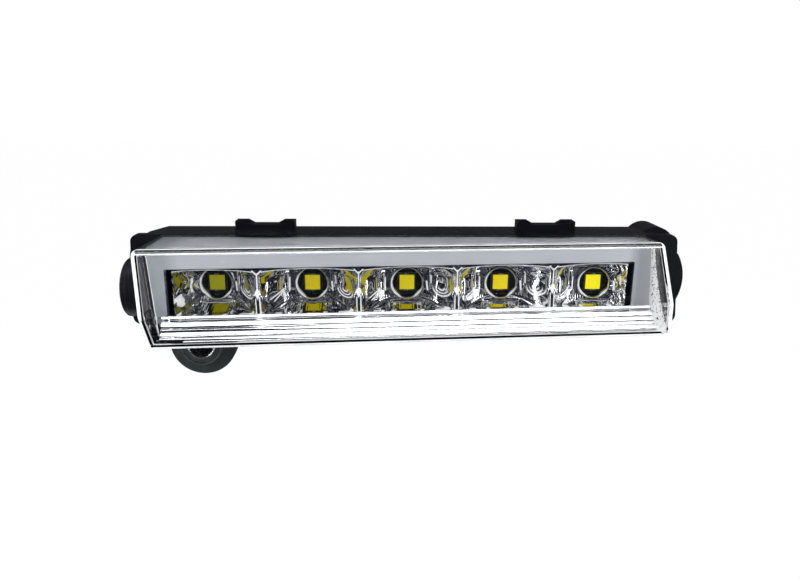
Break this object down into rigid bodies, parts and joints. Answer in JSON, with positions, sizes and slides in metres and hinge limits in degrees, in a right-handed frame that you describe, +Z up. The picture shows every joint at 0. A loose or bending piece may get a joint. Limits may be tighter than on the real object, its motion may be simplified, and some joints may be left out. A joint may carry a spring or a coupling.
{
  "type": "daytime running light",
  "caption": "Daytime running light for a car: swept clear lens over reflector cells with yellow light sources, in a black housing with an end boss, lugs and a rear heat sink.",
  "frame": {"origin": "middle of the lens at the flange's front face, where the lamp seats behind the opening in the trim", "axes": "+X to the right along the lamp as seen from the front, +Y to the back, +Z up"},
  "size_m": [0.2659, 0.0786, 0.0808],
  "materials": {
    "clear_lens": "clear moulded polycarbonate",
    "black_plastic": "satin black moulded plastic",
    "clip_plastic": "glossy black",
    "sealant": "grey sealant",
    "silver_bezel": "metallised satin silver",
    "reflector_metal": "vacuum-metallised mirror",
    "board": "dark solder mask",
    "driver_board": "green solder mask",
    "ceramic": "dull ceramic carrier",
    "phosphor": "yellow phosphor",
    "aluminium": "die-cast aluminium",
    "steel": "zinc-plated steel",
    "rubber": "moulded rubber",
    "red_seal": "orange silicone",
    "brass": "turned brass",
    "copper": "enamelled copper winding",
    "can": "sleeved can",
    "chip": "moulded package"
  },
  "bodies": {
    "root": {"lens": "clear_lens", "lens_seal": "sealant", "housing": "black_plastic", "bezel": "silver_bezel", "reflector": "reflector_metal", "led_board": "board", "led_1": "ceramic", "led_2": "ceramic", "led_3": "ceramic", "led_4": "ceramic", "led_5": "ceramic", "phosphor_1": "phosphor", "phosphor_2": "phosphor", "phosphor_3": "phosphor", "phosphor_4": "phosphor", "phosphor_5": "phosphor", "heat_spreader": "aluminium", "spreader_screws": "steel", "reflector_screws": "steel", "heat_sink": "aluminium", "heat_sink_gasket": "rubber", "heat_sink_screws": "steel", "driver_board": "driver_board", "driver_screws": "steel", "driver_coil": "copper", "driver_capacitors": "can", "driver_chip": "chip", "connector": "black_plastic", "connector_seal": "red_seal", "connector_pins": "brass", "breather_vent": "rubber", "lower_lug": "black_plastic", "lug_grommet": "rubber", "lug_sleeve": "steel", "upper_boss": "black_plastic", "upper_insert": "brass", "clip_top_left": "clip_plastic", "clip_top_right": "clip_plastic", "clip_bottom_left": "clip_plastic", "clip_bottom_right": "clip_plastic"}
  },
  "joints": []
}
